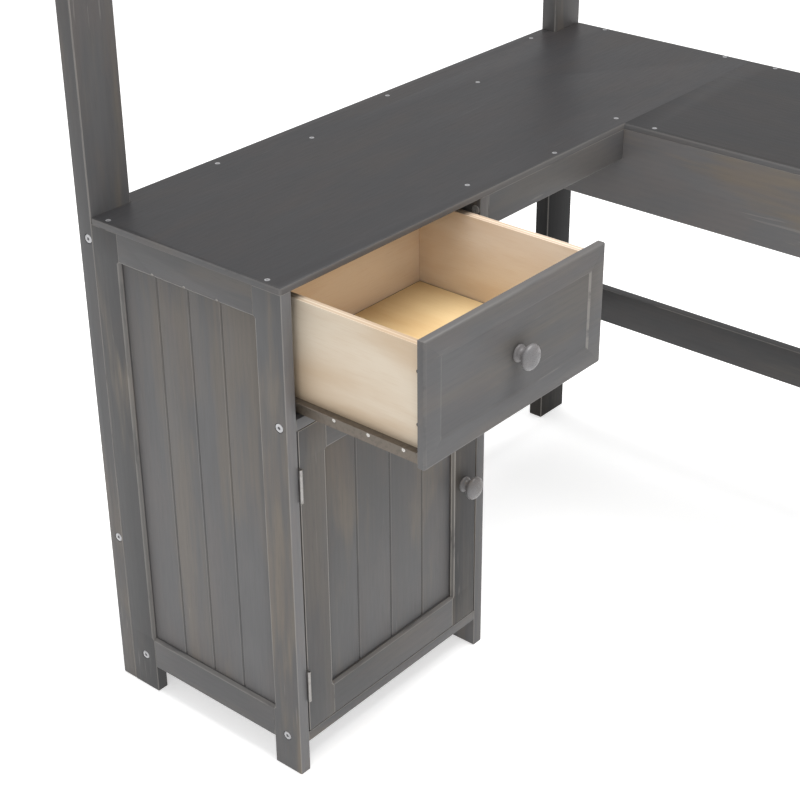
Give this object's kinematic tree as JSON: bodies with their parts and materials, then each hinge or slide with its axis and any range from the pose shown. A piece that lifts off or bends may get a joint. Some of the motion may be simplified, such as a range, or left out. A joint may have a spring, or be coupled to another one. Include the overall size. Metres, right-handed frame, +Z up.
{
  "type": "corner desk",
  "caption": "L-shaped corner desk with uprights behind the worktop and a framed cupboard that holds a drawer on roller runners and a hinged door.",
  "frame": {"origin": "on the floor, under the middle of the outer box of the whole desk with the drawer open as at rest", "axes": "+Z up; +Y towards the back of the main run, along the return; +X along the main run, from the cupboard to the corner"},
  "size_m": [1.098, 1.4, 1.25],
  "materials": {
    "grey_wood": "charcoal-grey stain, rubbed, satin",
    "worktop_wood": "darker charcoal-grey stain, smooth satin",
    "raw_wood": "raw, clear-sealed light wood",
    "coated_steel": "brown epoxy coat, satin",
    "zinc_steel": "bright zinc plate",
    "hinge_steel": "nickel-plated steel",
    "roller_nylon": "white nylon",
    "catch_plastic": "white moulded plastic"
  },
  "bodies": {
    "frame": {"main_top": "worktop_wood", "return_top": "worktop_wood", "left_post": "grey_wood", "corner_post": "grey_wood", "upper_back_rail": "grey_wood", "lower_back_rail": "grey_wood", "front_rail": "grey_wood", "return_apron": "grey_wood", "return_outer_rail": "grey_wood", "return_stretcher": "grey_wood", "outer_end_leg": "grey_wood", "inner_end_leg": "grey_wood", "end_top_rail": "grey_wood", "end_low_rail": "grey_wood", "left_front_leg": "grey_wood", "left_back_leg": "grey_wood", "left_top_rail": "grey_wood", "left_bottom_rail": "grey_wood", "left_side_panel": "grey_wood", "right_front_leg": "grey_wood", "right_back_leg": "grey_wood", "right_top_rail": "grey_wood", "right_bottom_rail": "grey_wood", "right_side_panel": "grey_wood", "mid_rail": "grey_wood", "bottom_board": "grey_wood", "back_board": "grey_wood", "left_cabinet_runner": "coated_steel", "right_cabinet_runner": "coated_steel", "hinge_frame_leaves": "hinge_steel", "hinge_pins": "hinge_steel", "magnetic_catch": "catch_plastic", "frame_bolts": "zinc_steel", "barrel_nuts": "zinc_steel", "top_screws": "zinc_steel", "cabinet_screws": "zinc_steel"},
    "drawer": {"drawer_front": "grey_wood", "drawer_left_side": "raw_wood", "drawer_right_side": "raw_wood", "drawer_inner_front": "raw_wood", "drawer_back": "raw_wood", "drawer_bottom": "raw_wood", "drawer_knob": "grey_wood", "drawer_knob_screw": "zinc_steel", "drawer_screws": "zinc_steel", "left_drawer_runner": "coated_steel", "right_drawer_runner": "coated_steel"},
    "door": {"door_left_stile": "grey_wood", "door_right_stile": "grey_wood", "door_top_rail": "grey_wood", "door_bottom_rail": "grey_wood", "door_panel": "grey_wood", "door_knob": "grey_wood", "door_knob_screw": "zinc_steel", "door_screws": "zinc_steel", "hinge_door_leaves": "hinge_steel", "catch_plate": "zinc_steel"},
    "front_rollers": {"front_rollers": "roller_nylon"},
    "rear_rollers": {"rear_rollers": "roller_nylon"}
  },
  "joints": [
    {"name": "drawer_slide", "type": "slide", "parent": "frame", "child": "drawer", "axis": [0, -1, 0], "range_m": [-0.205, 0.025]},
    {"name": "door_hinge", "type": "hinge", "parent": "frame", "child": "door", "pos_m": [-0.52975, 0.3303, 0.305], "axis": [0, 0, -1], "range_deg": [0, 175]},
    {"name": "front_roller_spin", "type": "hinge", "parent": "frame", "child": "front_rollers", "pos_m": [-0.346, 0.356, 0.5754], "axis": [1, 0, 0], "range_deg": [-1260, 165]},
    {"name": "rear_roller_spin", "type": "hinge", "parent": "drawer", "child": "rear_rollers", "pos_m": [-0.346, 0.42, 0.5739], "axis": [1, 0, 0], "range_deg": [-1260, 165]}
  ],
  "couplings": [
    {"joint": "front_roller_spin", "follows": "drawer_slide", "rad_per_m": 105.26},
    {"joint": "rear_roller_spin", "follows": "drawer_slide", "rad_per_m": 105.26}
  ]
}
